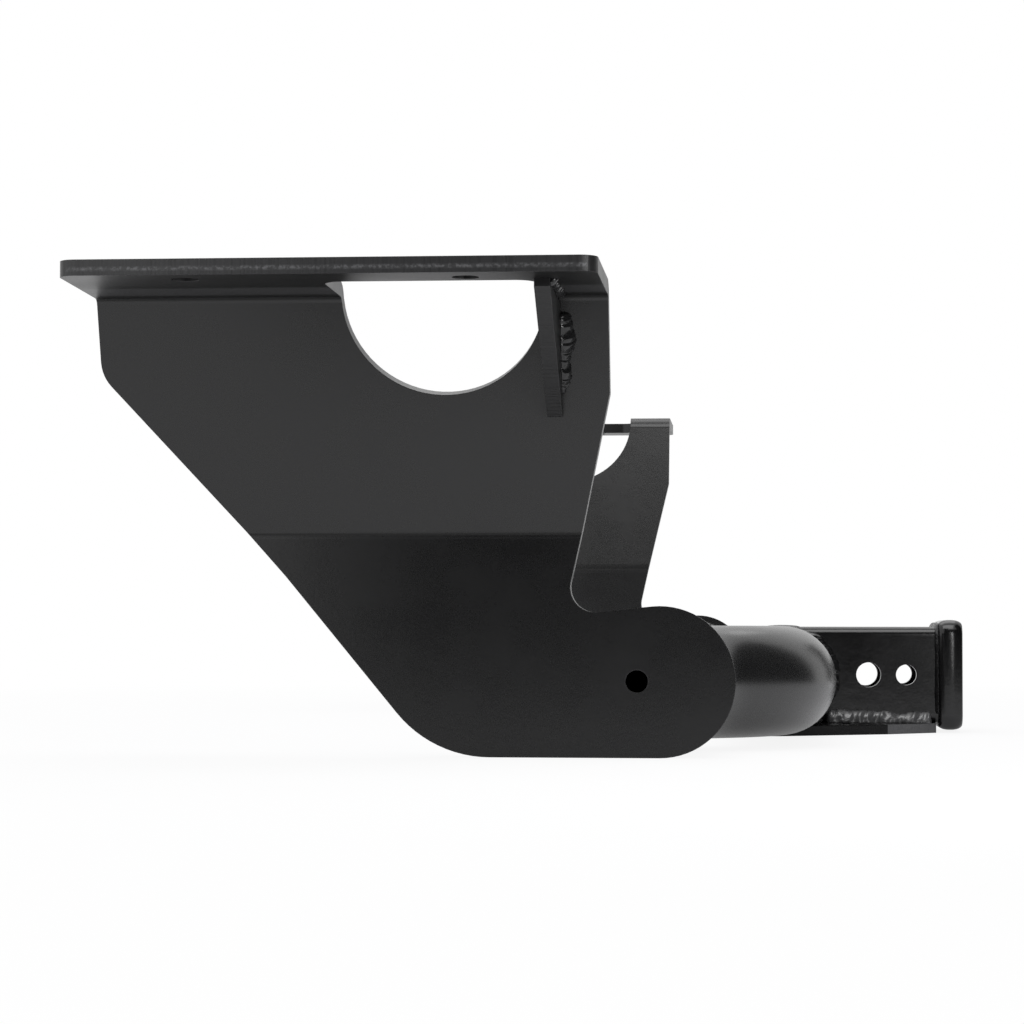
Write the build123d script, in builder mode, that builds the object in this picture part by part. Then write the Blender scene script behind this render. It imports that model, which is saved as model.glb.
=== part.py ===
"""
Receiver hitch: a welded steel frame that bolts under the rear of a vehicle.

A round cross tube with an offset bend near each end joins two formed side brackets. A square
receiver tube is coped onto the middle of the cross tube, has a collar round its mouth and sits on
a chain plate. Gussets stiffen the brackets' flanges, and weld beads join everything.

The origin is the centre of the receiver on the axis of its main pin hole. +X points to the rear,
out of the receiver's mouth, +Z points up and +Y to the vehicle's right. Lengths are millimetres.
"""

import os
from math import acos, cos, degrees, radians, sin, tan

from build123d import *

os.makedirs("parts", exist_ok=True)

# Sheet, plate and tube stock
bracket_thickness = 7.94
gusset_thickness = 7.94
chain_plate_thickness = 6.35
tube_diameter = 63.5
tube_wall = 4.8
receiver_size = 63.5
receiver_opening = 51.6
receiver_outer_corner = 6.0
receiver_inner_corner = 1.2

# Receiver, measured to the rear from the main pin hole
mouth_x = 61.6
main_pin_hole = 16.3
second_pin_hole = 13.5
second_pin_x = 24.7
cope_lip = 10.0
collar_width = 16.0
collar_stand = 4.6
collar_edge = 2.2
mouth_break = 0.8

# Cross tube: its axis at the receiver and at the brackets, and the bends between them
tube_middle_x = -58.5
tube_offset = 65.0
tube_bend_radius = 76.2
middle_run = 472.0

# Brackets: how the sheet is bent, seen from the rear
bracket_spread = 820.0
lean_angle = 17.46
bend_height = 80.5
flange_height = 209.24
flange_reach = 92.0
flange_taper = 3.2
lower_bend_radius = 9.0
flange_bend_radius = 4.0

# Brackets: their side outline, ahead of the tube's axis and above the receiver's axis
lobe_radius = 39.9
arm_slope = 5.88
throat_ahead = 50.7
throat_radius = 13.0
rear_edge_ahead = 25.0
rear_edge_foot = 152.1
front_edge_ahead = 292.6
front_edge_foot = 162.0
front_corner_radius = 19.0
kink_ahead = 198.8
kink_height = 57.3
kink_radius = 120.0
heel_ahead = 119.9
heel_radius = 64.0
bend_corner_radius = 6.0
flange_corner_radius = 9.0

# Brackets: openings, and how far a cut runs past the sheet
cutout_ahead = 110.7
cutout_radius = 52.7
cutout_rise = 0.5
notch_depth = 61.0
notch_corner_radius = 10.0
flange_hole = 13.5
flange_hole_inset = 19.0
front_hole_ahead = 229.7
rear_hole_ahead = 90.6
vent_hole = 11.9
vent_ahead = 12.1
vent_height = 2.1
cut_past = 20.0

# Gussets
gusset_gap = 0.4
gusset_drop = 61.3
gusset_reach = 67.0
gusset_snipe = 9.0
gusset_land = 4.0

# Chain plate, half widths and places along the receiver
plate_rear_gap = 1.5
plate_rear_half = 33.0
plate_shoulder_half = 64.0
plate_shoulder_x = 11.0
plate_wing_half = 105.0
plate_front_run = 30.0
plate_corner_radius = 8.0
chain_hole = 22.0
chain_hole_x = -10.0
chain_hole_half = 55.0

# Weld beads. The two angles are measured round the cross tube: from the rear, and from below.
weld_crown = 0.12
weld_end_gap = 1.0
tube_weld_leg = 6.0
saddle_weld_leg = 6.5
saddle_top_run = 12.0
saddle_top_rise = 1.5
saddle_top_angle = 62.0
saddle_foot_angle = 75.0
side_weld_leg = 7.0
collar_weld_leg = 3.5
gusset_weld_leg = 6.0
plate_weld_angle = 36.0
plate_weld_root_angle = 15.0

# Worked out from the sizes above
tube_radius = tube_diameter / 2
receiver_half = receiver_size / 2
outer_face_y = bracket_spread / 2
inner_face_y = outer_face_y - bracket_thickness
flange_under = flange_height - bracket_thickness
crease_y = outer_face_y + (flange_under - bend_height) * tan(radians(lean_angle))
flange_edge_y = crease_y + flange_reach
tube_end_x = tube_middle_x - tube_offset
front_x = tube_end_x - front_edge_ahead
rear_x = tube_end_x - rear_edge_ahead
cutout_x = tube_end_x - cutout_ahead
collar_front_x = mouth_x - collar_width
plate_top = -receiver_half
tube_height = plate_top + tube_radius
bracket_bottom = plate_top - chain_plate_thickness
plate_rear_x = collar_front_x - plate_rear_gap

# Each bend of the cross tube turns by the angle that makes up half the offset
bend_turn = acos(1 - tube_offset / (2 * tube_bend_radius))
bend_run = 2 * tube_bend_radius * sin(bend_turn)


def bead_section(leg: float):
    """A fillet weld's section: two legs along +X and +Y from its root, and a crown of two flats."""
    crown = leg * (0.5 + weld_crown)
    with BuildSketch(mode=Mode.PRIVATE) as section:
        with BuildLine():
            Polyline((0, 0), (leg, 0), (crown, crown), (0, leg), close=True)
        make_face()
    return section.sketch


def wedge_section(root: float, toe: float, plate_toe: float, rise: float):
    """A weld's section between the tube and the plate under it, from the tube's axis."""
    with BuildSketch(mode=Mode.PRIVATE) as section:
        with BuildLine():
            Polyline(
                (root, -tube_radius),
                (plate_toe, -tube_radius),
                (toe, rise - tube_radius),
                (root, rise - tube_radius),
                close=True,
            )
        make_face()
        Circle(tube_radius, mode=Mode.SUBTRACT)
    return section.sketch


# Right bracket: the sheet is drawn as it leaves the press, then trimmed to its side outline.
# The side outline runs past the top, where the flange ends the sheet.
past_top = flange_height + cut_past
lobe_height = bracket_bottom + lobe_radius
slope = radians(arm_slope)
arm_start = (tube_end_x - lobe_radius * sin(slope), lobe_height + lobe_radius * cos(slope))
throat_x = tube_end_x - throat_ahead
throat = (throat_x, arm_start[1] - (arm_start[0] - throat_x) * tan(slope))

with BuildPart() as bracket_right:
    with BuildSketch(Plane.YZ.offset(front_x)):
        with BuildLine():
            outer_skin = FilletPolyline(
                (outer_face_y, bracket_bottom),
                (outer_face_y, bend_height),
                (crease_y, flange_under),
                (flange_edge_y, flange_under),
                radius=(lower_bend_radius, flange_bend_radius),
            )
            offset(outer_skin, amount=bracket_thickness, side=Side.LEFT, mode=Mode.ADD)
        make_face()
    extrude(amount=tube_end_x + lobe_radius - front_x)

    with BuildSketch(Plane.XZ):
        with BuildLine():
            edge = FilletPolyline(
                (tube_end_x, bracket_bottom),
                (tube_end_x - heel_ahead, bracket_bottom),
                (tube_end_x - kink_ahead, kink_height),
                (front_x, front_edge_foot),
                (front_x, past_top),
                (rear_x, past_top),
                (rear_x, rear_edge_foot),
                throat,
                arm_start,
                radius=(
                    heel_radius,
                    kink_radius,
                    front_corner_radius,
                    0,
                    0,
                    bend_corner_radius,
                    throat_radius,
                ),
            )
            ThreePointArc(edge @ 1, (tube_end_x + lobe_radius, lobe_height), edge @ 0)
        make_face()
    extrude(amount=-(flange_edge_y + bracket_thickness), mode=Mode.INTERSECT)

    # The flange narrows a little at the front towards its outer edge, and its outer corners are round
    with BuildSketch(Plane.XY.offset(flange_under)):
        with BuildLine():
            Polyline(
                (front_x, crease_y),
                (front_x + flange_taper, flange_edge_y),
                (front_x, flange_edge_y),
                close=True,
            )
        make_face()
    extrude(amount=bracket_thickness, mode=Mode.SUBTRACT)
    fillet(bracket_right.faces().sort_by(Axis.Y)[-1].edges().filter_by(Axis.Z), flange_corner_radius)

    # The half-round cut-out goes square through the leaning plate, with its middle at the crease
    lean = radians(lean_angle)
    leaning_face = Plane(
        origin=(cutout_x, crease_y, flange_under), x_dir=(1, 0, 0), z_dir=(0, cos(lean), -sin(lean))
    )
    with BuildSketch(leaning_face):
        with Locations((0, -cutout_rise)):
            Circle(cutout_radius)
    extrude(amount=2 * bracket_thickness, both=True, mode=Mode.SUBTRACT)

    # and runs on through the bend into the flange as a square notch
    with BuildSketch(Plane.XY.offset(flange_under)):
        with Locations((cutout_x, crease_y + notch_depth)):
            Rectangle(2 * cutout_radius, notch_depth + cut_past, align=(Align.CENTER, Align.MAX))
        fillet(vertices().group_by(Axis.Y)[-1], notch_corner_radius)
    extrude(amount=2 * bracket_thickness, mode=Mode.SUBTRACT)

    # Bolt holes through the flange
    hole_y = flange_edge_y - flange_hole_inset
    with Locations(
        (tube_end_x - front_hole_ahead, hole_y, flange_height),
        (tube_end_x - rear_hole_ahead, hole_y, flange_height),
    ):
        Hole(flange_hole / 2, depth=2 * bracket_thickness)

    # Vent hole into the cross tube
    with BuildSketch(Plane.XZ.offset(-inner_face_y)):
        with Locations((tube_end_x - vent_ahead, tube_height + vent_height)):
            Circle(vent_hole / 2)
    extrude(amount=bracket_thickness, both=True, mode=Mode.SUBTRACT)
bracket_right.part.label = "bracket_right"
export_step(bracket_right.part, "parts/bracket_right.step")

# Left bracket, the right one's mirror image
with BuildPart() as bracket_left:
    mirror(bracket_right.part, about=Plane.XZ)
bracket_left.part.label = "bracket_left"
export_step(bracket_left.part, "parts/bracket_left.step")


# Gussets: a triangle between each flange and leaning plate, at the rear edge of the cut-out. Its
# inner corner is snipped clear of the sheet's bend, and its two tips end in short lands.
gusset_front_x = cutout_x + cutout_radius + gusset_gap
gusset_rear_x = gusset_front_x + gusset_thickness
gusset_tip_y = crease_y + gusset_reach
gusset_foot_y = crease_y - gusset_drop * tan(lean)
gusset_foot_z = flange_under - gusset_drop

with BuildPart() as gusset_right:
    with BuildSketch(Plane.YZ.offset(gusset_front_x)):
        with BuildLine():
            Polyline(
                (crease_y + gusset_snipe, flange_under),
                (gusset_tip_y, flange_under),
                (gusset_tip_y, flange_under - gusset_land),
                (gusset_foot_y + gusset_land, gusset_foot_z),
                (gusset_foot_y, gusset_foot_z),
                (crease_y - gusset_snipe * sin(lean), flange_under - gusset_snipe * cos(lean)),
                close=True,
            )
        make_face()
    extrude(amount=gusset_thickness)
gusset_right.part.label = "gusset_right"
export_step(gusset_right.part, "parts/gusset_right.step")

with BuildPart() as gusset_left:
    mirror(gusset_right.part, about=Plane.XZ)
gusset_left.part.label = "gusset_left"
export_step(gusset_left.part, "parts/gusset_left.step")


# Cross tube: one bent length between the two brackets' inner faces, lying on the chain plate
with BuildPart() as cross_tube:
    with BuildLine() as tube_path:
        half_run = middle_run / 2
        left_end = Line((tube_end_x, -inner_face_y), (tube_end_x, -half_run - bend_run))
        left_out = JernArc(left_end @ 1, left_end % 1, tube_bend_radius, -degrees(bend_turn))
        left_in = JernArc(left_out @ 1, left_out % 1, tube_bend_radius, degrees(bend_turn))
        middle = Line(left_in @ 1, (tube_middle_x, half_run))
        right_in = JernArc(middle @ 1, middle % 1, tube_bend_radius, degrees(bend_turn))
        right_out = JernArc(right_in @ 1, right_in % 1, tube_bend_radius, -degrees(bend_turn))
        Line(right_out @ 1, (tube_end_x, inner_face_y))
    with BuildSketch(Plane(origin=left_end @ 0, z_dir=left_end % 0)):
        Circle(tube_radius)
        Circle(tube_radius - tube_wall, mode=Mode.SUBTRACT)
    bent_tube = sweep(path=tube_path.wires()[0], mode=Mode.PRIVATE)
    with Locations((0, 0, tube_height)):
        add(bent_tube)
cross_tube.part.label = "cross_tube"
export_step(cross_tube.part, "parts/cross_tube.step")


# Receiver: square tube, its front end coped to the cross tube, with cross holes for the pins
with BuildPart() as receiver_tube:
    with BuildSketch(Plane.YZ.offset(tube_middle_x + cope_lip)):
        RectangleRounded(receiver_size, receiver_size, receiver_outer_corner)
        RectangleRounded(receiver_opening, receiver_opening, receiver_inner_corner, mode=Mode.SUBTRACT)
    extrude(amount=mouth_x - tube_middle_x - cope_lip)
    chamfer(receiver_tube.faces().sort_by(Axis.X)[-1].inner_wires()[0].edges(), mouth_break)
    with BuildSketch(Plane.XZ):
        with Locations((tube_middle_x, tube_height)):
            Circle(tube_radius)
        Circle(main_pin_hole / 2)
        with Locations((second_pin_x, 0)):
            Circle(second_pin_hole / 2)
    extrude(amount=receiver_size, both=True, mode=Mode.SUBTRACT)
receiver_tube.part.label = "receiver_tube"
export_step(receiver_tube.part, "parts/receiver_tube.step")


# Collar round the receiver's mouth
collar_size = receiver_size + 2 * collar_stand
collar_corner = receiver_outer_corner + collar_stand

with BuildPart() as receiver_collar:
    with BuildSketch(Plane.YZ.offset(collar_front_x)):
        RectangleRounded(collar_size, collar_size, collar_corner)
    extrude(amount=collar_width)
    chamfer(receiver_collar.edges().filter_by(Axis.X, reverse=True), collar_edge)
    with BuildSketch(Plane.YZ.offset(collar_front_x)):
        RectangleRounded(receiver_size, receiver_size, receiver_outer_corner)
    extrude(amount=collar_width, mode=Mode.SUBTRACT)
receiver_collar.part.label = "receiver_collar"
export_step(receiver_collar.part, "parts/receiver_collar.step")


# Chain plate: flat under the receiver and the cross tube, with a wing and a chain hole each side
with BuildPart() as chain_plate:
    with BuildSketch(Plane.XY.offset(plate_top)):
        with BuildLine():
            half_outline = Polyline(
                (plate_rear_x, 0),
                (plate_rear_x, plate_rear_half),
                (plate_shoulder_x, plate_shoulder_half),
                (tube_middle_x, plate_wing_half),
                (tube_middle_x - plate_front_run, plate_wing_half),
                (tube_middle_x - plate_front_run, 0),
            )
            mirror(half_outline, about=Plane.XZ)
        make_face()
        fillet(vertices().group_by(Axis.X)[0], plate_corner_radius)
        with Locations((chain_hole_x, chain_hole_half), (chain_hole_x, -chain_hole_half)):
            Circle(chain_hole / 2, mode=Mode.SUBTRACT)
    extrude(amount=-chain_plate_thickness)
chain_plate.part.label = "chain_plate"
export_step(chain_plate.part, "parts/chain_plate.step")


# Weld bead round each end of the cross tube, on the bracket's inner face
with BuildPart() as tube_weld_right:
    ring_root = (tube_end_x + tube_radius, inner_face_y, tube_height)
    with BuildSketch(Plane(origin=ring_root, x_dir=(1, 0, 0), z_dir=(0, 0, 1))):
        add(mirror(bead_section(tube_weld_leg), about=Plane.XZ, mode=Mode.PRIVATE))
    revolve(axis=Axis((tube_end_x, 0, tube_height), (0, 1, 0)))
tube_weld_right.part.label = "tube_weld_right"
export_step(tube_weld_right.part, "parts/tube_weld_right.step")

with BuildPart() as tube_weld_left:
    mirror(tube_weld_right.part, about=Plane.XZ)
tube_weld_left.part.label = "tube_weld_left"
export_step(tube_weld_left.part, "parts/tube_weld_left.step")


# Weld bead over the coped joint. It rises along both sides of the receiver in a ring round the
# cross tube, and a flatter bead joins the two over the top. The receiver's corners are round, so
# the ring's section starts inside them and the receiver's own outline is cut out of it.
with BuildPart() as receiver_saddle_weld:
    foot = radians(-saddle_foot_angle)
    ring_start = Plane(
        origin=(tube_middle_x, 0, tube_height),
        x_dir=(cos(foot), 0, sin(foot)),
        z_dir=(-sin(foot), 0, cos(foot)),
    )
    with BuildSketch(ring_start):
        with Locations((tube_radius, receiver_half)):
            add(bead_section(saddle_weld_leg))
        with Locations((tube_radius, receiver_half)):
            Rectangle(saddle_weld_leg, receiver_outer_corner, align=(Align.MIN, Align.MAX))
    revolve(
        axis=Axis((tube_middle_x, 0, tube_height), (0, -1, 0)),
        revolution_arc=saddle_foot_angle + saddle_top_angle,
    )
    mirror(about=Plane.XZ)

    tube_fall = tube_radius - (tube_radius**2 - saddle_top_run**2) ** 0.5
    cope_rise = min(receiver_half - tube_height, tube_radius)
    cope_reach = max(cope_lip, (tube_radius**2 - cope_rise**2) ** 0.5)
    joint_top = max(receiver_half, tube_height + tube_radius)
    top_front = (tube_middle_x - saddle_top_run, tube_height + tube_radius - tube_fall)
    top_crown = (tube_middle_x, joint_top + saddle_top_rise)
    top_rear = (tube_middle_x + cope_reach + saddle_weld_leg, receiver_half)
    with BuildSketch(Plane.XZ):
        with BuildLine():
            ThreePointArc(top_front, top_crown, top_rear)
            Polyline(top_rear, (top_rear[0], 0), (top_front[0], 0), top_front)
        make_face()
    extrude(amount=receiver_half + saddle_weld_leg / 2, both=True)

    with BuildSketch(Plane.XZ):
        with Locations((tube_middle_x, tube_height)):
            Circle(tube_radius)
    extrude(amount=receiver_size, both=True, mode=Mode.SUBTRACT)
    with BuildSketch(Plane.YZ.offset(tube_middle_x + cope_lip)):
        RectangleRounded(receiver_size, receiver_size, receiver_outer_corner)
    extrude(amount=receiver_size, mode=Mode.SUBTRACT)
    split(bisect_by=Plane.XY.offset(plate_top), keep=Keep.TOP)
receiver_saddle_weld.part.label = "receiver_saddle_weld"
export_step(receiver_saddle_weld.part, "parts/receiver_saddle_weld.step")


# Weld beads along both sides of the receiver, on the chain plate. Like the saddle's ring, each
# starts inside the receiver's round corner.
side_weld_top = plate_top + side_weld_leg
saddle_toe = tube_radius + saddle_weld_leg
saddle_toe_x = tube_middle_x + (saddle_toe**2 - (side_weld_top - tube_height) ** 2) ** 0.5
side_weld_start = saddle_toe_x + weld_end_gap
side_weld_end = collar_front_x - collar_weld_leg - weld_end_gap

with BuildPart() as side_weld_right:
    with BuildSketch(Plane.YZ.offset(side_weld_start)):
        with Locations((receiver_half, plate_top)):
            add(bead_section(side_weld_leg))
            Rectangle(receiver_outer_corner, receiver_outer_corner, align=(Align.MAX, Align.MIN))
        RectangleRounded(receiver_size, receiver_size, receiver_outer_corner, mode=Mode.SUBTRACT)
    extrude(amount=side_weld_end - side_weld_start)
side_weld_right.part.label = "side_weld_right"
export_step(side_weld_right.part, "parts/side_weld_right.step")

with BuildPart() as side_weld_left:
    mirror(side_weld_right.part, about=Plane.XZ)
side_weld_left.part.label = "side_weld_left"
export_step(side_weld_left.part, "parts/side_weld_left.step")


# Weld bead round the receiver on the collar's front face, open at the bottom over the chain plate
with BuildPart() as collar_weld:
    bead_size = receiver_size + 2 * collar_weld_leg
    collar_face = Plane(origin=(collar_front_x, 0, 0), x_dir=(0, 1, 0), z_dir=(-1, 0, 0))
    with BuildSketch(collar_face):
        RectangleRounded(bead_size, bead_size, receiver_outer_corner + collar_weld_leg)
    extrude(amount=collar_weld_leg, taper=45)
    with BuildSketch(collar_face):
        RectangleRounded(receiver_size, receiver_size, receiver_outer_corner)
    extrude(amount=collar_weld_leg, mode=Mode.SUBTRACT)
    split(bisect_by=Plane.XY.offset(plate_top), keep=Keep.TOP)
collar_weld.part.label = "collar_weld"
export_step(collar_weld.part, "parts/collar_weld.step")


# Weld beads under the cross tube, filling the wedge between it and the chain plate: one along the
# whole front, and one each side of the receiver at the rear
toe_turn = radians(plate_weld_angle)
root_turn = radians(plate_weld_root_angle)
toe_out = tube_radius * sin(toe_turn)
toe_rise = tube_radius * (1 - cos(toe_turn))
root_out = tube_radius * sin(root_turn)
plate_toe_out = toe_out + toe_rise
wing_slope = (plate_wing_half - plate_shoulder_half) / (plate_shoulder_x - tube_middle_x)
rear_weld_end = plate_wing_half - wing_slope * plate_toe_out - weld_end_gap
rear_weld_start = receiver_half + saddle_weld_leg + weld_end_gap

with BuildPart() as plate_rear_weld_right:
    with BuildSketch(Plane.XZ.offset(-rear_weld_start)):
        with Locations((tube_middle_x, tube_height)):
            add(wedge_section(root_out, toe_out, plate_toe_out, toe_rise))
    extrude(amount=-(rear_weld_end - rear_weld_start))
plate_rear_weld_right.part.label = "plate_rear_weld_right"
export_step(plate_rear_weld_right.part, "parts/plate_rear_weld_right.step")

with BuildPart() as plate_rear_weld_left:
    mirror(plate_rear_weld_right.part, about=Plane.XZ)
plate_rear_weld_left.part.label = "plate_rear_weld_left"
export_step(plate_rear_weld_left.part, "parts/plate_rear_weld_left.step")

with BuildPart() as plate_front_weld:
    with BuildSketch(Plane.XZ):
        with Locations((tube_middle_x, tube_height)):
            add(wedge_section(-root_out, -toe_out, -plate_toe_out, toe_rise))
    extrude(amount=plate_wing_half - plate_corner_radius - weld_end_gap, both=True)
plate_front_weld.part.label = "plate_front_weld"
export_step(plate_front_weld.part, "parts/plate_front_weld.step")


# Weld beads behind each gusset, down the leaning plate and out along the flange
plate_run = gusset_drop / cos(lean) - gusset_snipe - weld_end_gap
flange_run = gusset_reach - gusset_snipe - weld_end_gap

with BuildPart() as gusset_plate_weld_right:
    plate_run_top = (
        gusset_rear_x,
        crease_y - gusset_snipe * sin(lean),
        flange_under - gusset_snipe * cos(lean),
    )
    with BuildSketch(Plane(origin=plate_run_top, x_dir=(1, 0, 0), z_dir=(0, sin(lean), cos(lean)))):
        add(bead_section(gusset_weld_leg))
    extrude(amount=-plate_run)
gusset_plate_weld_right.part.label = "gusset_plate_weld_right"
export_step(gusset_plate_weld_right.part, "parts/gusset_plate_weld_right.step")

with BuildPart() as gusset_plate_weld_left:
    mirror(gusset_plate_weld_right.part, about=Plane.XZ)
gusset_plate_weld_left.part.label = "gusset_plate_weld_left"
export_step(gusset_plate_weld_left.part, "parts/gusset_plate_weld_left.step")

with BuildPart() as gusset_flange_weld_right:
    flange_run_start = (gusset_rear_x, crease_y + gusset_snipe, flange_under)
    with BuildSketch(Plane(origin=flange_run_start, x_dir=(1, 0, 0), z_dir=(0, 1, 0))):
        add(bead_section(gusset_weld_leg))
    extrude(amount=flange_run)
gusset_flange_weld_right.part.label = "gusset_flange_weld_right"
export_step(gusset_flange_weld_right.part, "parts/gusset_flange_weld_right.step")

with BuildPart() as gusset_flange_weld_left:
    mirror(gusset_flange_weld_right.part, about=Plane.XZ)
gusset_flange_weld_left.part.label = "gusset_flange_weld_left"
export_step(gusset_flange_weld_left.part, "parts/gusset_flange_weld_left.step")
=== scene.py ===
"""
Looks of the receiver hitch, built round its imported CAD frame.

The plates, the bent tube and the receiver keep their CAD meshes and get coated-steel finishes. The
weld beads and the collar are modelled here. Lengths are metres in the frame of the CAD: the origin
is on the axis of the main pin hole, +X points to the rear and +Z up.
"""

import logging
import math
from dataclasses import dataclass, field, replace
from enum import Enum
from typing import Any, Callable, Optional, Union

import bmesh
import bpy
from mathutils import Matrix, Vector, noise

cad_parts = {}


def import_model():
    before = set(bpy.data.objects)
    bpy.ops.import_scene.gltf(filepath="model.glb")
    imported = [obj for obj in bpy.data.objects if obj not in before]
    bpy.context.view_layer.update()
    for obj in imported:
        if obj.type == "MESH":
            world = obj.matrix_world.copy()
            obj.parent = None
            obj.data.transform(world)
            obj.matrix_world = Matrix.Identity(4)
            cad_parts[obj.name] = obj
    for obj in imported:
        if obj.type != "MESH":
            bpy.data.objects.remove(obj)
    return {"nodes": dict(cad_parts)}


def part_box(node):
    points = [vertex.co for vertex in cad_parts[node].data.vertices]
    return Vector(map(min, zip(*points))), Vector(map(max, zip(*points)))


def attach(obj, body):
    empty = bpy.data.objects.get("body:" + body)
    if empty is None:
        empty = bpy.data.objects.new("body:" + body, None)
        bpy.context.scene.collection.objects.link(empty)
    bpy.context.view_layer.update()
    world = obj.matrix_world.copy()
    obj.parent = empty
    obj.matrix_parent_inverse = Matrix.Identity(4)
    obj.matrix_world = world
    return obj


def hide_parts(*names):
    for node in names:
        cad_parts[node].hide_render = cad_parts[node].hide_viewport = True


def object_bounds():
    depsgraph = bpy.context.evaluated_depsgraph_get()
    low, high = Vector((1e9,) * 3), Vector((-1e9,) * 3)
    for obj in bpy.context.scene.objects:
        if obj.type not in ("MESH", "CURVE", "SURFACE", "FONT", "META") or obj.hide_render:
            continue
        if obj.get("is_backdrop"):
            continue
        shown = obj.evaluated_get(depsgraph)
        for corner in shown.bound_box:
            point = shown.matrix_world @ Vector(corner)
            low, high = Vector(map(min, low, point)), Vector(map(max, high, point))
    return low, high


log = logging.getLogger("receiver_hitch")

MM = 0.001
BODY = "root"


class Side(Enum):
    """A side of the vehicle, and its direction along Y."""

    LEFT = -1
    RIGHT = 1

    @property
    def node(self) -> str:
        """The ending of the CAD nodes' names on this side."""
        return self.name.lower()


class Axis(Enum):
    """An axis of the frame, and the scales that draw a pattern out along it."""

    X = (0.02, 1.0, 1.0)
    Y = (1.0, 0.02, 1.0)
    Z = (1.0, 1.0, 0.02)


class Slot(Enum):
    """The record's material slot names for the tube and the welds."""

    TUBE = "tube_paint"
    WELD = "weld_paint"


# Shader maths


class Wire:
    """A node's output. Python's operators on it add Math nodes."""

    def __init__(self, graph: "Graph", socket: bpy.types.NodeSocket) -> None:
        """Keeps the output's graph and socket.

        Args:
            graph: The graph that the node is in.
            socket: The output socket.
        """
        self.graph = graph
        self.socket = socket

    def _maths(self, operation: str, first: "Value", second: "Value") -> "Wire":
        """Adds one Math node.

        Args:
            operation: The node's operation.
            first: Its first value.
            second: Its second value.

        Returns:
            The node's output.
        """
        return self.graph.node("ShaderNodeMath", {"operation": operation}, {0: first, 1: second})

    def __add__(self, other: "Value") -> "Wire":
        """Their sum."""
        return self._maths("ADD", self, other)

    def __radd__(self, other: "Value") -> "Wire":
        """Their sum."""
        return self._maths("ADD", other, self)

    def __sub__(self, other: "Value") -> "Wire":
        """Their difference."""
        return self._maths("SUBTRACT", self, other)

    def __rsub__(self, other: "Value") -> "Wire":
        """Their difference."""
        return self._maths("SUBTRACT", other, self)

    def __mul__(self, other: "Value") -> "Wire":
        """Their product."""
        return self._maths("MULTIPLY", self, other)

    def __rmul__(self, other: "Value") -> "Wire":
        """Their product."""
        return self._maths("MULTIPLY", other, self)

    def __gt__(self, other: "Value") -> "Wire":
        """1 where this output is the larger, otherwise 0."""
        return self._maths("GREATER_THAN", self, other)

    def __lt__(self, other: "Value") -> "Wire":
        """1 where this output is the smaller, otherwise 0."""
        return self._maths("LESS_THAN", self, other)

    def __abs__(self) -> "Wire":
        """This output without its sign."""
        return self._maths("ABSOLUTE", self, 0.0)

    def either(self, other: "Value") -> "Wire":
        """The larger of two masks.

        Args:
            other: The other mask.

        Returns:
            A mask that is 1 where either is 1.
        """
        return self._maths("MAXIMUM", self, other)


Value = Union[Wire, float]


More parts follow.
